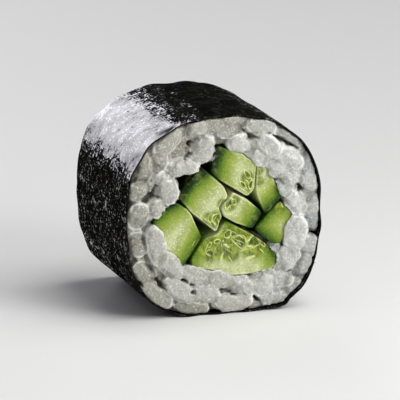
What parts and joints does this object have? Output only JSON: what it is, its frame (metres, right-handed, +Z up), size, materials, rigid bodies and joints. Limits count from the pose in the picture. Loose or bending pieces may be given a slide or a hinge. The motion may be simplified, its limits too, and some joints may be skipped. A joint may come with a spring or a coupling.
{
  "type": "cucumber maki roll",
  "caption": "Short cut length of sushi roll lying on its side, with a nori sheet wrapped round pressed rice and cucumber sticks showing at both cut faces.",
  "frame": {"origin": "middle of the roll's footprint, on the surface that it rests on", "axes": "+Y along the roll's axis, from the front cut face to the back cut face; +Z up; +X to the right as seen from the front cut face"},
  "size_m": [0.034, 0.0298, 0.0336],
  "materials": {
    "nori": "thin moist roasted seaweed, near black with a green cast, glossy and finely wrinkled",
    "rice": "cooked short-grain rice, moist, white and slightly translucent",
    "cucumber": "fresh cut cucumber, wet, pale green flesh with darker green under the skin"
  },
  "bodies": {
    "root": {"nori": "nori", "rice": "rice", "cucumber_top": "cucumber", "cucumber_upper_right": "cucumber", "cucumber_mid_left": "cucumber", "cucumber_mid_right": "cucumber", "cucumber_left": "cucumber", "cucumber_right": "cucumber", "cucumber_bottom": "cucumber"}
  },
  "joints": []
}
